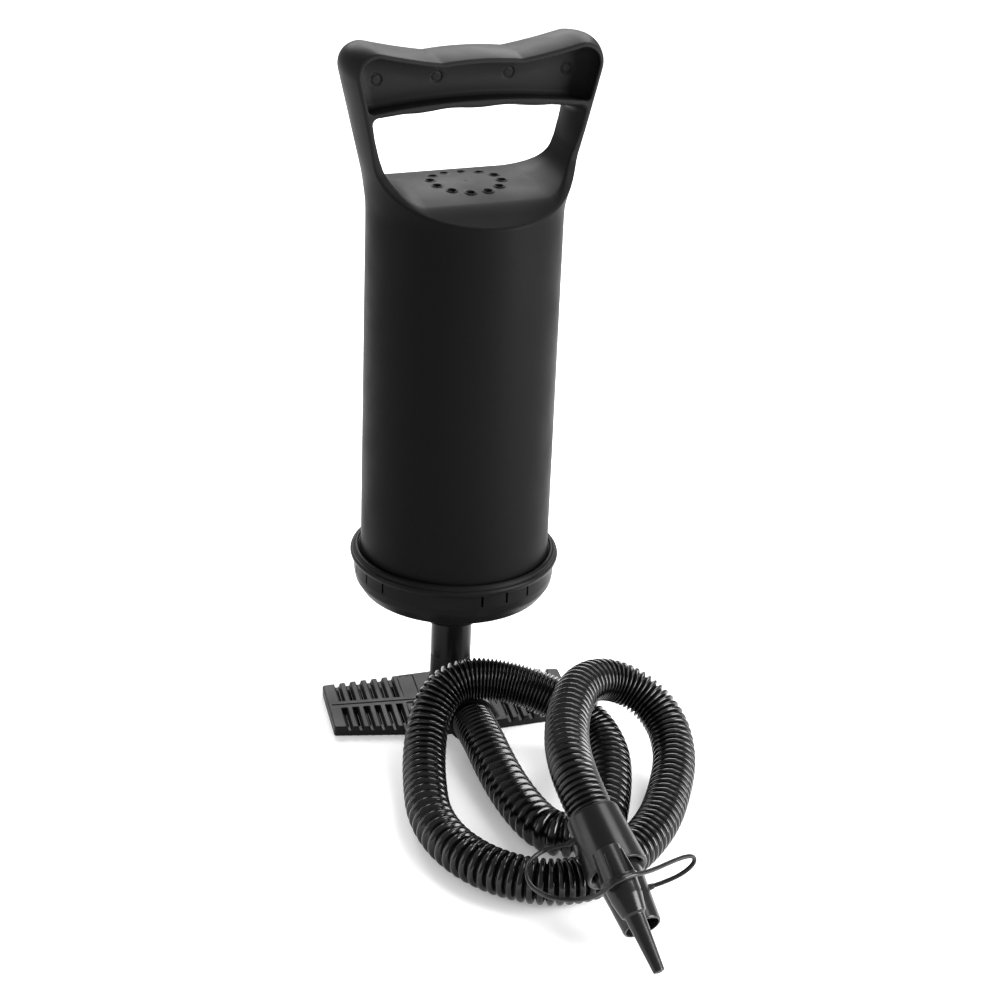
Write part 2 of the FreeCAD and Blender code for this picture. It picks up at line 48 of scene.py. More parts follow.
# ---------------------------------------------------------------- camera
CAMERA_PLACE = Vector((-0.20803, -0.97874, 0.57284))
CAMERA_HEADING = math.radians(13.227)
CAMERA_PITCH = math.radians(24.613)
CAMERA_ROLL = math.radians(2.362)
CAMERA_LENS = 82.31


def add_camera():
    forward = Vector((math.sin(CAMERA_HEADING) * math.cos(CAMERA_PITCH),
                      math.cos(CAMERA_HEADING) * math.cos(CAMERA_PITCH),
                      -math.sin(CAMERA_PITCH)))
    level = Vector((math.cos(CAMERA_HEADING), -math.sin(CAMERA_HEADING), 0))
    upright = level.cross(forward)
    right = level * math.cos(CAMERA_ROLL) + upright * math.sin(CAMERA_ROLL)
    up = upright * math.cos(CAMERA_ROLL) - level * math.sin(CAMERA_ROLL)
    data = bpy.data.cameras.new("camera")
    data.lens = CAMERA_LENS
    data.sensor_width = 36
    camera = bpy.data.objects.new("camera", data)
    turn = Matrix((right, up, -forward)).transposed().to_4x4()
    camera.matrix_world = Matrix.Translation(CAMERA_PLACE) @ turn
    bpy.context.scene.collection.objects.link(camera)
    bpy.context.scene.camera = camera


# ---------------------------------------------------------------- materials
def plastic(name, grey, roughness, specular, grain=0.05, grain_size=1200.0, mottling=0.06):
    """Moulded black plastic: fine grain in the bump and faint clouding of its gloss."""
    material = bpy.data.materials.new(name)
    material.use_nodes = True
    nodes = material.node_tree.nodes
    links = material.node_tree.links
    shader = nodes["Principled BSDF"]
    shader.inputs["Base Color"].default_value = (grey, grey, grey * 1.04, 1)
    shader.inputs["Specular IOR Level"].default_value = specular
    place = nodes.new("ShaderNodeTexCoord")
    fine = nodes.new("ShaderNodeTexNoise")
    fine.inputs["Scale"].default_value = grain_size
    fine.inputs["Detail"].default_value = 3
    bump = nodes.new("ShaderNodeBump")
    bump.inputs["Strength"].default_value = grain
    bump.inputs["Distance"].default_value = 0.0004
    links.new(place.outputs["Object"], fine.inputs["Vector"])
    links.new(fine.outputs["Fac"], bump.inputs["Height"])
    links.new(bump.outputs["Normal"], shader.inputs["Normal"])
    clouds = nodes.new("ShaderNodeTexNoise")
    clouds.inputs["Scale"].default_value = 45
    clouds.inputs["Detail"].default_value = 5
    spread = nodes.new("ShaderNodeMapRange")
    spread.inputs["From Min"].default_value = 0.3
    spread.inputs["From Max"].default_value = 0.7
    spread.inputs["To Min"].default_value = roughness - mottling
    spread.inputs["To Max"].default_value = roughness + mottling
    links.new(place.outputs["Object"], clouds.inputs["Vector"])
    links.new(clouds.outputs["Fac"], spread.inputs["Value"])
    links.new(spread.outputs["Result"], shader.inputs["Roughness"])
    return material


def paint_height_shading(material, low, high, grey):
    """Fades the plastic to another grey between two heights on the object, in metres: painted light and shade
    that change with height.
    """
    nodes = material.node_tree.nodes
    links = material.node_tree.links
    shader = nodes["Principled BSDF"]
    place = nodes.new("ShaderNodeTexCoord")
    split = nodes.new("ShaderNodeSeparateXYZ")
    fade = nodes.new("ShaderNodeMapRange")
    fade.inputs["From Min"].default_value = low
    fade.inputs["From Max"].default_value = high
    mix = nodes.new("ShaderNodeMix")
    mix.data_type = "RGBA"
    mix.inputs["A"].default_value = shader.inputs["Base Color"].default_value
    mix.inputs["B"].default_value = (grey, grey, grey * 1.04, 1)
    links.new(place.outputs["Object"], split.inputs["Vector"])
    links.new(split.outputs["Z"], fade.inputs["Value"])
    links.new(fade.outputs["Result"], mix.inputs["Factor"])
    links.new(mix.outputs["Result"], shader.inputs["Base Color"])


def steel(name):
    material = plastic(name, 0.55, 0.3, 0.5, 0.02)
    material.node_tree.nodes["Principled BSDF"].inputs["Metallic"].default_value = 1.0
    return material


MATERIALS = {
    "barrel_plastic": plastic("barrel_plastic", 0.0038, 0.42, 0.024, 0.08, 1500),
    "cap_plastic": plastic("cap_plastic", 0.0050, 0.34, 0.035, 0.06, 1500),
    "foot_plastic": plastic("foot_plastic", 0.0065, 0.46, 0.12, 0.14, 1100),
    "stem_plastic": plastic("stem_plastic", 0.0032, 0.24, 0.12, 0.03),
    "inner_plastic": plastic("inner_plastic", 0.03, 0.45, 0.4, 0.05),
    "seal_rubber": plastic("seal_rubber", 0.02, 0.7, 0.3, 0.15),
    "screw_steel": steel("screw_steel"),
    "hose_plastic": plastic("hose_plastic", 0.0028, 0.17, 0.32, 0.02, 900, 0.04),
    "cuff_plastic": plastic("cuff_plastic", 0.0032, 0.28, 0.22, 0.05),
    "nozzle_plastic": plastic("nozzle_plastic", 0.004, 0.24, 0.24, 0.05),
    "tether_plastic": plastic("tether_plastic", 0.006, 0.22, 0.22, 0.03),
}
# painted light: the dish, arms and grip above the shoulder are painted a lighter grey than the barrel below,
# standing in for the top and back light they catch
paint_height_shading(MATERIALS["barrel_plastic"], 0.262, 0.29, 0.0105)
# painted light and shade: the tread plate below 7 mm is painted lighter than the socket and hose port above
# 13 mm, for the top light on the plate and the shade on the upright parts
paint_height_shading(MATERIALS["foot_plastic"], 0.007, 0.013, 0.0045)


def finish_piece(obj, slot, body):
    """Material slot and moving body of a finished piece."""
    obj.data.materials.clear()
    obj.data.materials.append(MATERIALS[slot])
    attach(obj, body)
    return obj


# ---------------------------------------------------------------- mesh helpers
def mesh_object(name, verts, faces, sharp_angle=35.0):
    mesh = bpy.data.meshes.new(name)
    mesh.from_pydata([tuple(v) for v in verts], [], faces)
    mesh.update()
    work = bmesh.new()
    work.from_mesh(mesh)
    bmesh.ops.recalc_face_normals(work, faces=work.faces)
    work.to_mesh(mesh)
    work.free()
    mesh.shade_smooth()
    mesh.set_sharp_from_angle(angle=math.radians(sharp_angle))
    obj = bpy.data.objects.new(name, mesh)
    bpy.context.scene.collection.objects.link(obj)
    return obj


def rounded(points, steps=5):
    """Outline of (r, t) or (r, t, corner radius) points with those corners rounded."""
    result = []
    count = len(points)
    for i, point in enumerate(points):
        here = Vector(point[:2])
        radius = point[2] if len(point) > 2 else 0
        if radius <= 0:
            result.append(here)
            continue
        back = Vector(points[i - 1][:2]) - here
        ahead = Vector(points[(i + 1) % count][:2]) - here
        half = back.angle(ahead) / 2
        trim = min(radius / math.tan(half), 0.49 * back.length, 0.49 * ahead.length)
        start = here + back.normalized() * trim
        end = here + ahead.normalized() * trim
        for k in range(steps + 1):
            f = k / steps
            result.append(start.lerp(here, f).lerp(here.lerp(end, f), f))
    return result


def axis_frame(start, end):
    """Matrix that takes +Z at the origin to the axis from start to end, in metres."""
    way = (end - start).normalized()
    return Matrix.Translation(start) @ way.to_track_quat("Z", "Y").to_matrix().to_4x4()


def lathe(name, points, place=None, steps=96, sharp_angle=35.0):
    """Solid of revolution from a closed outline of (r, t, corner radius) points in millimetres."""
    outline = rounded(points)
    rings = len(outline)
    verts = []
    for r, t in outline:
        for k in range(steps):
            angle = 2 * math.pi * k / steps
            verts.append(Vector((r * math.cos(angle), r * math.sin(angle), t)) * MM)
    faces = []
    for i in range(rings):
        j = (i + 1) % rings
        for k in range(steps):
            m = (k + 1) % steps
            faces.append((i * steps + k, i * steps + m, j * steps + m, j * steps + k))
    obj = mesh_object(name, verts, faces, sharp_angle)
    if place is not None:
        obj.data.transform(place)
    return obj


# ---------------------------------------------------------------- shapes as distance fields
def round_max(a, b, radius):
    """Where two shapes overlap, with the edge between them rounded."""
    u = np.maximum(a + radius, 0)
    v = np.maximum(b + radius, 0)
    return np.hypot(u, v) + np.minimum(np.maximum(a + radius, b + radius), 0) - radius


def round_min(a, b, radius):
    """Two shapes joined, with a fillet between them."""
    return -round_max(-a, -b, radius)


def ease(value, low, high):
    """Rises smoothly from 0 at low to 1 at high."""
    t = np.clip((value - low) / (high - low), 0, 1)
    return t * t * (3 - 2 * t)


def smooth_max(a, b, width):
    """The larger of two heights, with the corner between them smoothed over a width."""
    h = np.clip(0.5 + (a - b) / (2 * width), 0, 1)
    return b + (a - b) * h + width * h * (1 - h)


def gradient(field, p, step=0.05):
    """Slope of the field at each point of p, from points a step ahead and behind on each axis."""
    result = np.empty_like(p)
    for axis in range(3):
        shift = np.zeros(3)
        shift[axis] = step
        ahead = field(*(p + shift).T)
        behind = field(*(p - shift).T)
        result[:, axis] = (ahead - behind) / (2 * step)
    return result


def field_mesh(field, low, high, voxel):
    """Vertices in millimetres and quads of the surface where field(x, y, z) is zero."""
    axes = [np.arange(a, b + voxel, voxel) for a, b in zip(low, high)]
    grid_points = np.meshgrid(*axes, indexing="ij")
    band = 3 * voxel
    values = np.clip(field(*grid_points), -band, band).astype(np.float32)
    grid = openvdb.FloatGrid(band)
    grid.copyFromArray(values)
    points, quads = grid.convertToQuads(isovalue=0.0)
    points = points.astype(float) * voxel + np.array(low)
    for _ in range(2):
        slope = gradient(field, points)
        size = np.maximum((slope ** 2).sum(1), 0.2)
        step = (field(*points.T) / size)[:, None] * slope
        points -= np.clip(step, -0.4 * voxel, 0.4 * voxel)
    return points, quads


def field_object(name, points, quads):
    mesh = bpy.data.meshes.new(name)
    mesh.from_pydata((points * MM).tolist(), [], quads.tolist())
    mesh.update()
    mesh.shade_smooth()
    obj = bpy.data.objects.new(name, mesh)
    bpy.context.scene.collection.objects.link(obj)
    return obj


# ---------------------------------------------------------------- barrel and handle
HANDLE_TURN = math.radians(9.5)
BARREL_RADIUS = 45.3
BORE_RADIUS = 43.1
GRIP_DEPTH = 14.5
HANDLE_SHIFT = 1.0
BARREL_SEAM_Z = 255.5
BARREL_FOOT_Z = 86.0
SHOULDER_Z = 262.0
WAIST_Z = 285.0
WAIST_DEPTH = 12.2
GRIP_HIGHEST_Z = 336.2
GRIP_UNDERSIDE_Z = 307.8
FINGER_PITCH = 27.0
WINDOW_HALF_WIDTH = 45.4
DISH_Z = 272.9
HOLE_RING_RADIUS = 16.3
HOLE_RADIUS = 1.65
HOLE_FIRST_ANGLE = math.radians(17)
HOLE_STEP = math.radians(30)
WEB_HALF_THICKNESS = 1.3
RECESS_FLOOR_Z = 313.5
RECESS_WALL = 1.9
MARK_PLACES = [(45.2, 321.9), (17.1, 321.9)]
CEILING_EDGE_Z = 256.6
CEILING_TOP_Z = 267.6
VOXEL = 0.6


def grip_top(ax):
    """Height of the grip's top edge: a low crown between two raised shoulders."""
    middle = 331.5 - 0.003 * ax ** 2
    t = ax - 20
    shoulder = 330.6 + 0.15 * t + 0.0018 * np.maximum(t, 0) ** 2
    return -smooth_max(-smooth_max(middle, shoulder, 0.2), np.full_like(ax, -GRIP_HIGHEST_Z), 0.5)


def barrel_field(x, y, z):
    """Upper barrel, dish and handle: negative inside the plastic, in millimetres."""
    ax = np.abs(x - HANDLE_SHIFT * ease(z, SHOULDER_Z, 280))
    ay = np.abs(y)
    edge = np.minimum((y / GRIP_DEPTH) ** 2, 1)
    lean = 0.24 * 2 * np.logaddexp(0, (z - 263.5) / 2)
    skin = (np.hypot(np.maximum(ax - lean, 0), y) - BARREL_RADIUS) * (1 - 0.027 * ease(z, SHOULDER_Z, 270))
    # depth of the arms and grip
    under_waist = np.maximum(WAIST_Z - z, 0)
    waist = WAIST_DEPTH + 0.075 * under_waist ** 2
    narrowing = np.exp(-(np.maximum(z - WAIST_Z, 0) / 15) ** 1.3)
    spread = GRIP_DEPTH - (GRIP_DEPTH - WAIST_DEPTH) * narrowing
    depth = np.where(z < WAIST_Z, np.minimum(waist, 70), spread)
    front = (ay - depth) / np.sqrt(1 + (0.15 * under_waist) ** 2)
    top = grip_top(ax)
    crowned = (z - top - 1.6 * (1 - edge)) * 0.97
    body = round_max(round_max(skin, crowned, 12), front, 1.1)
    # space between the dish, the arms and the grip's underside
    around = np.hypot(x, y)
    turn = np.arctan2(y, x) - HOLE_FIRST_ANGLE
    turn -= np.round(turn / HOLE_STEP) * HOLE_STEP
    hole = np.hypot(around * np.cos(turn) - HOLE_RING_RADIUS, around * np.sin(turn))
    lips = 0.42 * np.exp(-((hole - 2.2) / 0.5) ** 2) + 0.3 * np.exp(-(around / 0.9) ** 2)
    dish = DISH_Z + lips - 7.5 * np.minimum((y / 45) ** 2, 1.2) - z
    wall = ax - WINDOW_HALF_WIDTH - 0.16 * np.maximum(z - 286, 0) - 2.3 * edge * ease(z, 280, 300)
    fingers = 0.35 * np.cos(2 * math.pi * ax / FINGER_PITCH) * (1 - ease(ax, 30, 42))
    under = z - (GRIP_UNDERSIDE_Z - 2.2 * (ax / 45) ** 2 + 3.2 * edge - fingers)
    window = round_max(round_max(dish, wall, 17), under, 3.2)
    solid = round_max(body, -window, 0.9)
    # recesses in the grip's front and back, down to a middle web with four round ejector marks
    floor = RECESS_FLOOR_Z - 4.1 * (ax / 54) ** 2 - 1.0 * (1 - edge) - z
    marks = np.minimum(*[np.hypot(ax - across, z - height) for across, height in MARK_PLACES])
    dents = 0.25 * (1 - ease(marks, 2.2, 2.7)) + 0.55 * np.exp(-((marks - 2.4) / 0.45) ** 2)
    web = WEB_HALF_THICKNESS - dents - ay
    recess = round_max(skin + RECESS_WALL, web, 9)
    recess = round_max(recess, z - top + RECESS_WALL, 9.5)
    recess = round_max(recess, floor, 2.2)
    solid = round_max(solid, -recess, 0.85)
    # intake holes and the cylinder's inside
    solid = round_max(solid, -np.maximum(hole - HOLE_RADIUS, z - 277), 0.2)
    cone = ((around - BORE_RADIUS) + (z - CEILING_EDGE_Z) * 1.909) * 0.464
    ceiling = np.maximum(cone, z - CEILING_TOP_Z)
    return np.maximum(solid, -np.maximum(around - BORE_RADIUS, ceiling))


def add_barrel():
    """Handle and dish from the field, cut level at the seam and drawn straight down to the barrel's foot."""
    points, quads = field_mesh(barrel_field, (-63, -48, 251), (63, 48, 342), VOXEL)
    obj = field_object("barrel_handle", points, quads)
    work = bmesh.new()
    work.from_mesh(obj.data)
    everything = work.verts[:] + work.edges[:] + work.faces[:]
    bmesh.ops.bisect_plane(work, geom=everything, plane_co=(0, 0, BARREL_SEAM_Z * MM), plane_no=(0, 0, 1),
                           clear_inner=True)
    rim_verts = [v for v in work.verts if v.is_boundary]
    bmesh.ops.remove_doubles(work, verts=rim_verts, dist=0.3 * MM)
    for v in [v for v in work.verts if v.is_boundary]:
        around = math.hypot(v.co.x, v.co.y)
        reach = BARREL_RADIUS if around > (BARREL_RADIUS + BORE_RADIUS) / 2 * MM else BORE_RADIUS
        v.co.x *= reach * MM / around
        v.co.y *= reach * MM / around
    rim = [e for e in work.edges if e.is_boundary]
    made = bmesh.ops.extrude_edge_only(work, edges=rim)
    low_verts = [v for v in made["geom"] if isinstance(v, bmesh.types.BMVert)]
    for v in low_verts:
        v.co.z = BARREL_FOOT_Z * MM
    low_edges = [e for e in work.edges if e.is_boundary]
    bmesh.ops.bridge_loops(work, edges=low_edges)
    bmesh.ops.recalc_face_normals(work, faces=work.faces)
    work.to_mesh(obj.data)
    work.free()
    obj.data.shade_smooth()
    points = np.array([v.co for v in obj.data.vertices]) / MM
    sample = points.copy()
    sample[:, 2] = np.maximum(sample[:, 2], 252)
    slope = gradient(barrel_field, sample)
    slope /= np.linalg.norm(slope, axis=1)[:, None] + 1e-9
    turn = np.array(Matrix.Rotation(HANDLE_TURN, 3, "Z")).T
    obj.data.vertices.foreach_set("co", (points @ turn * MM).ravel())
    obj.data.update()
    obj.data.normals_split_custom_set_from_vertices((slope @ turn).tolist())
    finish_piece(obj, "barrel_plastic", "barrel")
    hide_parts("pump_barrel")
    print("barrel faces", len(obj.data.polygons))


# ---------------------------------------------------------------- bottom cap and stem
CAP_OUTLINE = [
    (13, 52.5, 0.2), (15.4, 52.5, 0.7), (16.4, 54, 1.5), (16.9, 61.6, 2.5), (30, 63.9, 8), (38, 66.2, 8),
    (44.4, 69.4, 6), (47.9, 75, 5), (48.5, 79, 3), (48.5, 85.7, 0.6), (49.9, 86.0, 0.9), (50.4, 87.6, 0.9),
    (50.0, 89.0, 0.8), (48.9, 89.0, 0.4), (48.7, 90.4, 0.7), (47.6, 90.9, 0.5), (46.8, 90.9, 0.3),
    (46.7, 90, 0.2), (45.35, 89.6), (45.35, 83), (43.4, 83), (43.4, 77.5, 1), (42.6, 74.2, 1),
    (40, 70.6, 1), (36, 68.2, 1), (29, 66), (13, 66)]
CAP_SHARP_ANGLE = 28
VENT_PLACE = (0.047, 0, 0.0827)
VENT_SIZE = (0.010, 0.0011, 0.0055, 1)
VENT_ANGLES = [-70 + 90 * cluster + 15 * step for cluster in range(4) for step in (-1, 0, 1)]


def add_cap():
    """Bowl of the bottom cap with its upright vent slots cut through."""
    obj = lathe("cap_bowl", CAP_OUTLINE, None, 160, CAP_SHARP_ANGLE)
    cutter = bmesh.new()
    for angle in VENT_ANGLES:
        turn = Matrix.Rotation(math.radians(angle), 4, "Z")
        box = turn @ Matrix.Translation(VENT_PLACE) @ Matrix.Diagonal(VENT_SIZE)
        bmesh.ops.create_cube(cutter, size=1, matrix=box)
    mesh = bpy.data.meshes.new("cap_vent_tool")
    cutter.to_mesh(mesh)
    cutter.free()
    tool = bpy.data.objects.new("cap_vent_tool", mesh)
    bpy.context.scene.collection.objects.link(tool)
    cut = obj.modifiers.new("vents", "BOOLEAN")
    cut.operation = "DIFFERENCE"
    cut.solver = "EXACT"
    cut.object = tool
    bpy.context.view_layer.update()
    made = bpy.data.meshes.new_from_object(obj.evaluated_get(bpy.context.evaluated_depsgraph_get()))
    obj.modifiers.clear()
    obj.data = made
    bpy.data.objects.remove(tool)
    obj.data.shade_smooth()
    obj.data.set_sharp_from_angle(angle=math.radians(CAP_SHARP_ANGLE))
    finish_piece(obj, "cap_plastic", "barrel")
    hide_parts("bottom_cap")


# ---------------------------------------------------------------- foot plate
PORT_LEAN = math.radians(6)
PORT_Z = 12.6
PORT_REACH = 24.0
PORT_RADIUS = 11.8
PORT_BORE_RADIUS = 6.6
SPIGOT_RADIUS = 8.6
SPIGOT_REACH = 35.2
FOOT_HALF_LENGTH = 61.0
FOOT_HALF_WIDTH = 28.5
FOOT_TAPER = 7.5 / FOOT_HALF_LENGTH
FOOT_TOP_Z = 5.0
TREAD_PITCH = 5.5
TREAD_OUTERMOST = 53.5
TREADS_PER_ROW = 6
SOCKET_RADIUS = 10.0
SOCKET_BORE_RADIUS = 8.35
SOCKET_FLOOR_Z = 6.0
SOCKET_TOP_Z = 31.0
FOOT_VOXEL = 0.45


def foot_field(x, y, z):
    """Foot plate with its treads, socket and hose port: negative inside the plastic, in millimetres."""
    ax = np.abs(x)
    ay = np.abs(y)
    sides = (ay - FOOT_HALF_WIDTH + FOOT_TAPER * ax) / math.hypot(1, FOOT_TAPER)
    outline = round_max(ax - FOOT_HALF_LENGTH, sides, 1.2)
    top = z - FOOT_TOP_Z - 0.25 * np.exp(-(y / 9) ** 2)
    plate = round_max(outline, top, 0.7)
    # tread grooves with sloping walls, and the crease between their two rows
    k = np.clip(np.round((TREAD_OUTERMOST - ax) / TREAD_PITCH), 0, TREADS_PER_ROW - 1)
    off = np.abs(ax - (TREAD_OUTERMOST - k * TREAD_PITCH))
    groove = (off - 1.55 - 0.35 * (z - FOOT_TOP_Z)) * 0.94
    groove = round_max(groove, 2.75 - z, 0.3)
    groove = round_max(groove, 3.4 - ay, 0.5)
    plate = round_max(plate, -groove, 0.35)
    crease = np.maximum(np.maximum(ay - 0.45, FOOT_TOP_Z - 0.25 - z), ax - FOOT_HALF_LENGTH + 2)
    plate = round_max(plate, -crease, 0.15)
    # shallow panels between the treads and the socket
    panel = round_max(np.maximum(ax - 22.3, 14.2 - ax), np.maximum(sides + 1.6, 2.2 - ay), 1.5)
    plate = round_max(plate, -np.maximum(panel, FOOT_TOP_Z - 0.25 - z), 0.12)
    # pockets underneath
    pocket = np.maximum(np.abs(ax - 41) - 16, np.abs(ay - 9.7) - 8.5)
    plate = round_max(plate, -np.maximum(pocket, z - 2.4), 0.3)
    # socket and hose port
    around = np.hypot(x, y)
    socket = round_max(around - SOCKET_RADIUS, z - SOCKET_TOP_Z, 0.5)
    along = x * math.sin(PORT_LEAN) - y * math.cos(PORT_LEAN)
    across = x * math.cos(PORT_LEAN) + y * math.sin(PORT_LEAN)
    bore = np.hypot(across, z - PORT_Z)
    housing = round_max(np.maximum(bore - PORT_RADIUS, -along), along - PORT_REACH, 0.7)
    flank = np.maximum(np.abs(across) - 17.5 + 0.58 * np.maximum(z - 6, 0), z - 18)
    fairing = round_max(round_max(flank, -along, 0.5), along - PORT_REACH, 0.7)
    body = round_min(round_min(plate, socket, 3.0), round_min(housing, fairing, 2.5), 2.0)
    spigot = np.maximum(np.maximum(bore - SPIGOT_RADIUS, -along), along - SPIGOT_REACH)
    body = np.minimum(body, spigot)
    body = np.maximum(body, 0.0 - z)
    hollow = np.maximum(around - SOCKET_BORE_RADIUS, SOCKET_FLOOR_Z - z)
    body = np.maximum(body, -hollow)
    return np.maximum(body, -np.maximum(bore - PORT_BORE_RADIUS, -along))


def add_foot():
    """Foot plate from its field, its shading taken from the field's slope."""
    points, quads = field_mesh(foot_field, (-64, -38, -3), (64, 31, 34), FOOT_VOXEL)
    obj = field_object("foot_tread_plate", points, quads)
    slope = gradient(foot_field, points, 0.03)
    slope /= np.linalg.norm(slope, axis=1)[:, None] + 1e-9
    obj.data.normals_split_custom_set_from_vertices(slope.tolist())
    finish_piece(obj, "foot_plastic", "foot")
    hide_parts("foot_plate")
    print("foot faces", len(obj.data.polygons))


# ---------------------------------------------------------------- hose
HOSE_ROUTE = [
    (3.9, -37.3, 12.6), (5.6, -53.2, 12.2), (7, -75, 10.4), (9, -99, 10.4), (13, -121, 10.4),
    (19, -137, 10.4), (31, -142, 10.4), (44, -136, 10.4), (51, -118, 10.4), (58, -97, 10.4), (63, -73, 12.5),
    (57, -54, 19), (38, -47, 30), (15, -39, 36), (-6, -37, 36), (-19, -46, 25), (-25, -64, 13),
    (-29, -88, 10.4), (-32, -115, 10.4), (-27, -141, 10.4), (-13, -163, 10.4), (8, -176, 10.4),
    (30, -175, 10.4), (50, -160, 10.4), (69, -138, 10.4), (82, -113, 11), (92, -88, 15),
    (92, -68, 24), (80, -55, 34), (63, -54, 41), (48, -68, 45), (37, -92, 46.5), (29, -119, 48),
    (25, -143, 50), (25, -160, 47.6), (27.95, -171.8, 41.1)]
HOSE_CREST = 10.2
HOSE_ROOT = 7.3
HOSE_SIDES = 64
RIDGE_STEPS = 14
RIDGE_WIDTH = 2.9
RIDGE_CROWN = 0.22
# Distance along the hose and the spacing of its ridges there: closed up where it arches, drawn out elsewhere.
RIDGE_SPACING = [
    (0, 2.4), (15, 3.2), (40, 5.6), (80, 5.6), (100, 4.6), (165, 5.0), (180, 4.4), (200, 2.9), (220, 2.0),
    (245, 1.7), (262, 1.7), (270, 2.05), (292, 3.0), (302, 3.6), (320, 4.2), (340, 5.2), (370, 5.8),
    (400, 5.0), (430, 3.9), (455, 3.7), (530, 4.0), (560, 4.1), (580, 3.5), (610, 2.9), (630, 2.8),
    (650, 4.4), (690, 5.4), (730, 4.4), (750, 2.8), (770, 2.3)]


def curve_points(name, route, resolution):
    """Points along the smooth curve that the route controls, in metres."""
    data = bpy.data.curves.new(name, "CURVE")
    data.dimensions = "3D"
    data.resolution_u = resolution
    spline = data.splines.new("NURBS")
    spline.points.add(len(route) - 1)
    for point, place in zip(spline.points, route):
        point.co = (*(c * MM for c in place), 1)
    spline.order_u = 3
    spline.use_endpoint_u = True
    obj = bpy.data.objects.new(name, data)
    bpy.context.scene.collection.objects.link(obj)
    bpy.context.view_layer.update()
    mesh = bpy.data.meshes.new_from_object(obj.evaluated_get(bpy.context.evaluated_depsgraph_get()))
    points = [v.co.copy() for v in mesh.vertices]
    bpy.data.objects.remove(obj)
    bpy.data.meshes.remove(mesh)
    clean = [points[0]]
    for p in points[1:]:
        if (p - clean[-1]).length > 1e-6:
            clean.append(p)
    return clean


def reaches(points):
    """Distance along a polyline to each of its points, in metres."""
    total = [0.0]
    for a, b in zip(points, points[1:]):
        total.append(total[-1] + (b - a).length)
    return total


def even_stations(length, spacing):
    count = max(2, round(length / spacing))
    return [length * k / count for k in range(count + 1)]


def walk(points, stations):
    """Points on a polyline at the given distances, with their tangents."""
    reach = reaches(points)
    spots = []
    i = 0
    for s in stations:
        while i < len(points) - 2 and reach[i + 1] < s:
            i += 1
        f = (s - reach[i]) / (reach[i + 1] - reach[i])
        spots.append(points[i].lerp(points[i + 1], min(1.0, f)))
    last = len(spots) - 1
    ways = []
    for k in range(len(spots)):
        ways.append((spots[min(last, k + 2)] - spots[max(0, k - 2)]).normalized())
    return spots, ways


def tube_mesh(name, points, stations, radii, steps):
    """Closed tube along points, with a radius in millimetres at each station."""
    spots, ways = walk(points, stations)
    side = ways[0].orthogonal().normalized()
    verts = []
    for spot, way, radius in zip(spots, ways, radii):
        side = (side - way * side.dot(way)).normalized()
        other = way.cross(side)
        r = radius * MM
        for m in range(steps):
            angle = 2 * math.pi * m / steps
            verts.append(spot + side * (r * math.cos(angle)) + other * (r * math.sin(angle)))
    faces = []
    for k in range(len(spots) - 1):
        for m in range(steps):
            n = (m + 1) % steps
            a = k * steps
            faces.append((a + m, a + n, a + steps + n, a + steps + m))
    last = (len(spots) - 1) * steps
    faces.append(tuple(range(steps))[::-1])
    faces.append(tuple(range(last, last + steps)))
    return mesh_object(name, verts, faces, 60)


def ridge_stations(length):
    """Stations through every ridge in metres, and the hose's radius in millimetres at each."""
    stations = []
    radii = []
    place = 0.0
    while place < length / MM:
        spacing = float(np.interp(place, *zip(*RIDGE_SPACING)))
        for k in range(RIDGE_STEPS):
            phase = k / RIDGE_STEPS
            across = phase - 0.12 * math.sin(2 * math.pi * phase)
            here = (place + spacing * across) * MM
            if here < length:
                to_groove = spacing * min(across, 1 - across)
                crown = RIDGE_CROWN * (1 - math.sin(math.pi * across))
                depth = (HOSE_CREST - crown - HOSE_ROOT) * min(1, spacing / 4)
                valley = max(min(0.46, 0.2 * spacing), (spacing - RIDGE_WIDTH) / 2)
                groove = depth / (1 + math.exp((to_groove - valley) / min(0.2, 0.07 * spacing)))
                stations.append(here)
                radii.append(HOSE_CREST - crown - groove)
        place += spacing
    stations.append(length)
    radii.append(HOSE_ROOT)
    return stations, radii


def add_hose():
    """Corrugated hose from the foot's port to the outlet, whose pieces move with its end."""
    points = curve_points("hose_line", HOSE_ROUTE, 24)
    stations, radii = ridge_stations(reaches(points)[-1])
    obj = tube_mesh("hose_corrugated", points, stations, radii, HOSE_SIDES)
    finish_piece(obj, "hose_plastic", "foot")
    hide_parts("hose")
    return obj


# ---------------------------------------------------------------- cuffs and nozzles
OUTLET_START = Vector((28, -172, 41))
OUTLET_END = Vector((39, -220, 15))
SMALL_START = Vector((25, -205.4, 45.7))
SMALL_END = Vector((38.8, -247.2, 12))


CUFF_OUTLINE = [
    (7.4, 0), (11.5, 0, 0.5), (11.9, 1.4, 0.8), (12.5, 10, 4), (13.7, 27.5, 2), (13.6, 29, 1.2),
    (12.3, 29, 1.2), (10.9, 27.2, 0.5), (10.05, 23), (10.05, 12), (7.4, 12)]


def add_outlet():
    """Cuff on the hose's free end and the large nozzle in it."""
    place = axis_frame(OUTLET_START * MM, OUTLET_END * MM)
    reach = (OUTLET_END - OUTLET_START).length
    cuff = lathe("outlet_cuff", CUFF_OUTLINE, place)
    finish_piece(cuff, "cuff_plastic", "foot")
    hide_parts("hose_outlet_cuff")
    nozzle = lathe("nozzle_large", [
        (8.2, 12.2), (10.0, 12.2), (10.0, 23), (10.3, 29, 3), (8.55, reach - 0.8, 0.3),
        (8.3, reach, 0.5), (7.4, reach, 0.3), (7.4, reach - 20)], place)
    finish_piece(nozzle, "nozzle_plastic", "foot")
    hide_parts("large_nozzle")
    return [cuff, nozzle]


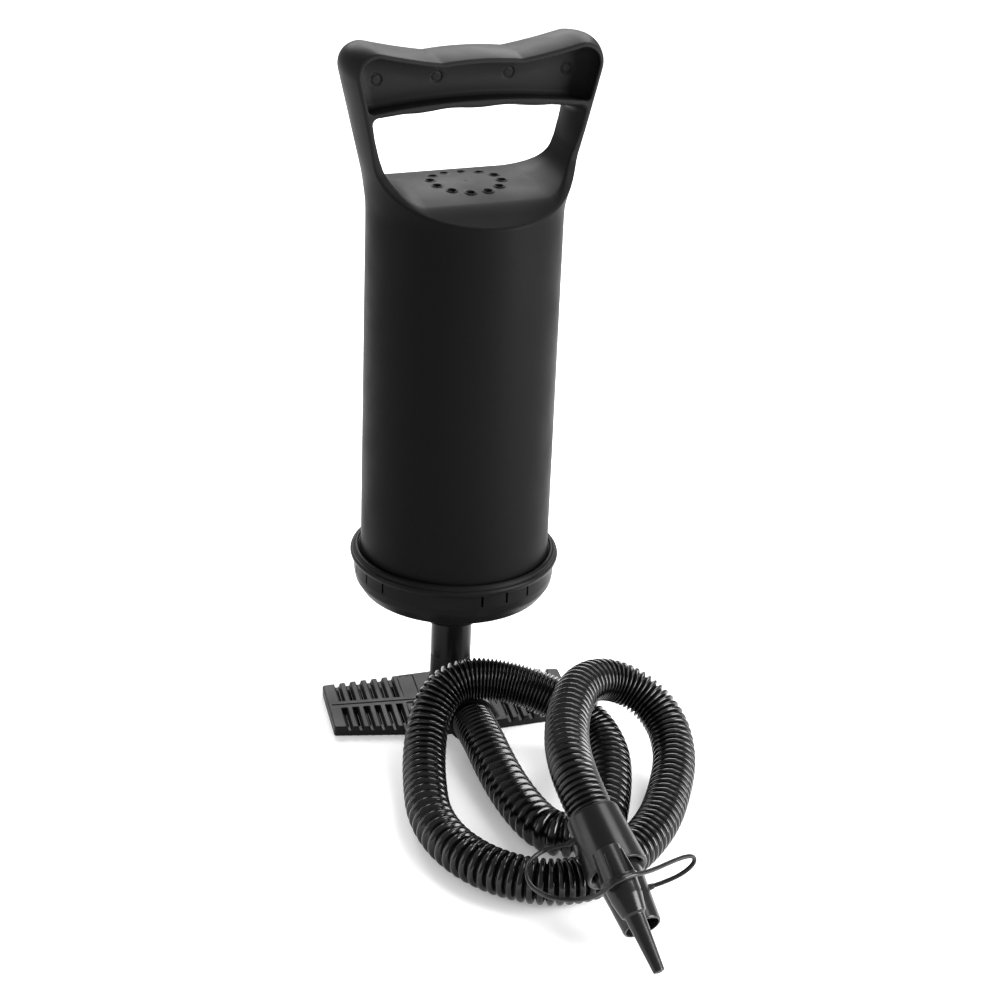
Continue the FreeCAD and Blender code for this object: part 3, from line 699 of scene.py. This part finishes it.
FIN_POINTS = [(5.6, -0.6, 2.5), (5.6, 0.6, 2.5), (6.6, 0.6, 2.5), (6.6, -0.6, 2.5),
              (5.6, -0.6, 14), (5.6, 0.6, 14), (7.9, 0.6, 14), (7.9, -0.6, 14)]
FIN_FACES = [(0, 1, 2, 3), (4, 7, 6, 5), (0, 4, 5, 1), (1, 5, 6, 2), (2, 6, 7, 3), (3, 7, 4, 0)]


def add_small_nozzle():
    """Stepped nozzle with a flange, held by four fins round its upper part."""
    place = axis_frame(SMALL_START * MM, SMALL_END * MM)
    reach = (SMALL_END - SMALL_START).length
    body = lathe("nozzle_small", [(4.6, 0, 0.2), (6.1, 0, 0.6), (6.4, 13.5, 0.2), (8.3, 13.5, 0.5),
                                  (8.3, 15.6, 0.5), (7.3, 15.9, 0.3), (6.9, 22, 4), (5.4, 29.6, 0.6),
                                  (4.2, 30.5, 0.6), (2.55, reach - 0.6, 0.3), (2.2, reach, 0.4),
                                  (1.3, reach, 0.2), (2.9, 30), (4.6, 20)], place, 72)
    fins = []
    for k in range(4):
        turn = Matrix.Rotation(math.radians(45 + 90 * k), 4, "Z")
        verts = [turn @ (Vector(p) * MM) for p in FIN_POINTS]
        fin = mesh_object("nozzle_fin_%d" % k, verts, FIN_FACES)
        fin.data.transform(place)
        bevel = fin.modifiers.new("edges", "BEVEL")
        bevel.width = 0.3 * MM
        bevel.segments = 3
        fins.append(fin)
    for piece in [body] + fins:
        finish_piece(piece, "nozzle_plastic", "foot")
        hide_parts("small_nozzle")
    return [body] + fins


# ---------------------------------------------------------------- tether
TETHER_RADIUS = 1.0
TETHER_ROUTE = [
    (15.2, -182.2, 34), (8, -181, 32.5), (0, -184, 31), (-5, -191, 29.5), (-6, -200, 28.5),
    (-3, -208, 28.5), (3, -214, 29), (10, -218, 30.5), (16, -222, 34), (19, -226, 39), (23, -228, 44.5),
    (30, -226, 46), (38, -221, 43), (46, -214, 40), (54, -208, 38.5), (62, -203, 37), (66, -200.5, 34.5),
    (66, -201, 31.5), (61, -203, 28.5), (53, -204.5, 26), (46, -205, 24.5)]


def add_tether():
    points = curve_points("tether_line", TETHER_ROUTE, 16)
    stations = even_stations(reaches(points)[-1], 0.8 * MM)
    obj = tube_mesh("tether_strap", points, stations, [TETHER_RADIUS] * len(stations), 20)
    finish_piece(obj, "tether_plastic", "foot")
    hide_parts("nozzle_tether")
    return obj


TETHER_ENDS = [("tether_root", (15.2, -182.2, 34), (19.6, -182.5, 36.6)),
               ("tether_tip", (46.6, -205, 24.6), (43.4, -205.3, 23.8))]


def add_tether_ends():
    """Small moulded lugs where the tether joins the cuff and the large nozzle."""
    for name, start, end in TETHER_ENDS:
        start = Vector(start)
        end = Vector(end)
        reach = (end - start).length
        outline = [(0.2, -0.8), (1.25, -0.8, 0.4), (1.5, reach * 0.6, 0.6), (1.7, reach, 0.3), (0.2, reach)]
        lug = lathe(name, outline, axis_frame(start * MM, end * MM), 32)
        finish_piece(lug, "tether_plastic", "foot")
        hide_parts("nozzle_tether")


# ---------------------------------------------------------------- floor and lights
FLOOR_HALF_SIZE = 6.0
FLOOR_GAP = 0.0002


def add_stage():
    """Wide pale floor just under the pump, and an even white surround."""
    mesh = bpy.data.meshes.new("floor")
    size = FLOOR_HALF_SIZE
    corners = [(-size, -size, 0), (size, -size, 0), (size, size, 0), (-size, size, 0)]
    mesh.from_pydata(corners, [], [(0, 1, 2, 3)])
    floor = bpy.data.objects.new("floor", mesh)
    floor.location.z = -FLOOR_GAP
    bpy.context.scene.collection.objects.link(floor)
    material = bpy.data.materials.new("floor_white")
    material.use_nodes = True
    shader = material.node_tree.nodes["Principled BSDF"]
    shader.inputs["Base Color"].default_value = (0.90, 0.90, 0.90, 1)
    shader.inputs["Emission Color"].default_value = (1, 1, 1, 1)
    shader.inputs["Emission Strength"].default_value = 0.2
    shader.inputs["Roughness"].default_value = 0.9
    shader.inputs["Specular IOR Level"].default_value = 0.0
    mesh.materials.append(material)
    world = bpy.data.worlds.new("studio")
    world.use_nodes = True
    background = world.node_tree.nodes["Background"]
    background.inputs["Color"].default_value = (1, 1, 1, 1)
    background.inputs["Strength"].default_value = 0.62
    bpy.context.scene.world = world


def add_softbox(name, place, target, width, height, power):
    data = bpy.data.lights.new(name, "AREA")
    data.shape = "RECTANGLE"
    data.size = width
    data.size_y = height
    data.energy = power
    light = bpy.data.objects.new(name, data)
    light.location = place
    light.rotation_euler = (Vector(target) - Vector(place)).to_track_quat("-Z", "Y").to_euler()
    bpy.context.scene.collection.objects.link(light)


def add_lights():
    add_softbox("right_box", (0.9, -0.65, 0.35), (0, 0, 0.15), 0.7, 0.7, 34)
    add_softbox("left_box", (-1.05, -0.1, 0.35), (0, 0, 0.15), 0.6, 0.7, 4.5)
    add_softbox("back_box", (0.15, 1.25, 0.95), (0, 0, 0.25), 1.25, 0.6, 23)
    add_softbox("top_box", (0.8, 0.0, 1.55), (0, -0.05, 0.1), 0.9, 0.8, 20)


# ---------------------------------------------------------------- build
def finish_cad_nodes():
    """Materials on the CAD nodes that show their own meshes."""
    slots = {s["node"]: s["material_slot"] for s in frame["record"]["subparts"]}
    for name, obj in frame["nodes"].items():
        if obj.hide_render:
            continue
        obj.data.materials.clear()
        obj.data.materials.append(MATERIALS[slots[name]])


add_camera()
outlet = add_outlet()
small = add_small_nozzle()
add_hose()
add_tether()
add_tether_ends()
add_barrel()
add_cap()
add_foot()
finish_cad_nodes()
add_stage()
add_lights()
bpy.context.scene.view_settings.view_transform = "Standard"
